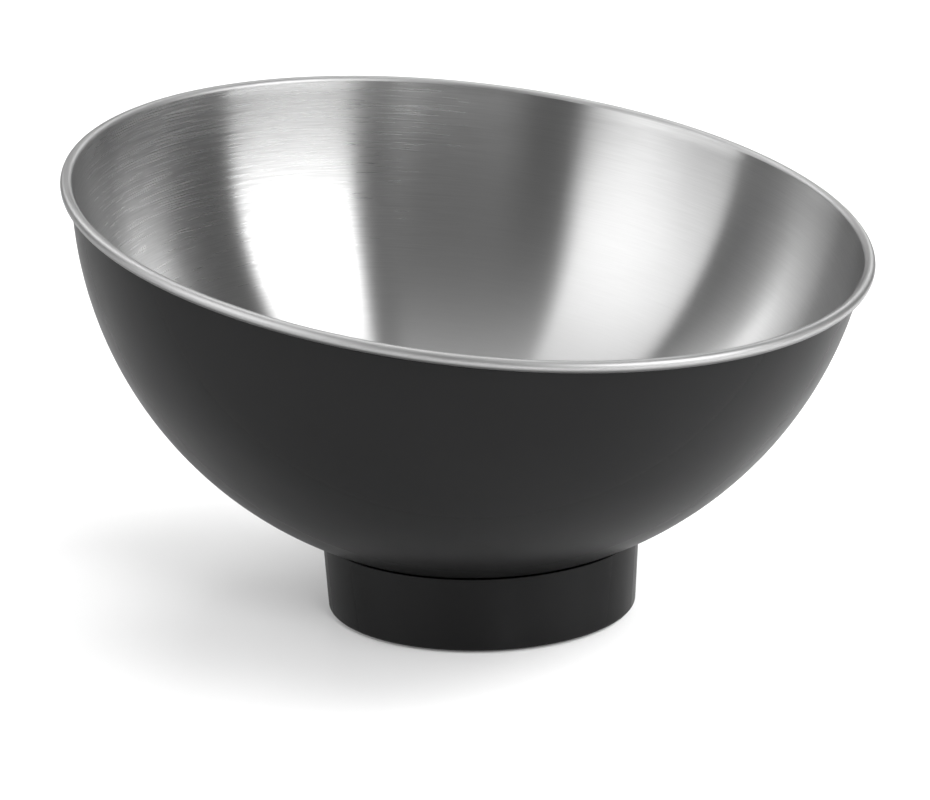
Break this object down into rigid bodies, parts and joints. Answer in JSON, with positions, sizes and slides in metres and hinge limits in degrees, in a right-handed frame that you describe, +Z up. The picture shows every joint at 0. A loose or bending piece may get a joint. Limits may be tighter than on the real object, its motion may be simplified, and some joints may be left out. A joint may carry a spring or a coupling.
{
  "type": "hair color bowl",
  "caption": "Hemispherical tint bowl with a sloping rolled-rim mouth, brushed steel inside and matt black outside, standing on an upright round foot.",
  "frame": {"origin": "centre of the foot's underside, on the surface the bowl stands on", "axes": "+Z up along the foot's axis; the mouth slopes down towards -Y, so the low lip is at -Y and the high lip at +Y; the bowl is symmetric left to right about the YZ plane"},
  "size_m": [0.15, 0.1479, 0.0889],
  "materials": {
    "brushed_liner": "circumferentially brushed stainless steel, polished rolled rim",
    "black_shell": "smooth satin-matt black powder coat",
    "black_foot": "satin-matt black, matched to the shell",
    "plain_steel": "plain stainless fixings",
    "black_rubber": "matt black non-slip rubber"
  },
  "bodies": {
    "root": {"steel_liner": "brushed_liner", "outer_shell": "black_shell", "weld_plate": "plain_steel", "weld_stud": "plain_steel", "foot_body": "black_foot", "foot_seal_ring": "black_rubber", "plain_washer": "plain_steel", "lock_washer": "plain_steel", "thin_nut": "plain_steel", "rubber_base": "black_rubber"}
  },
  "joints": []
}
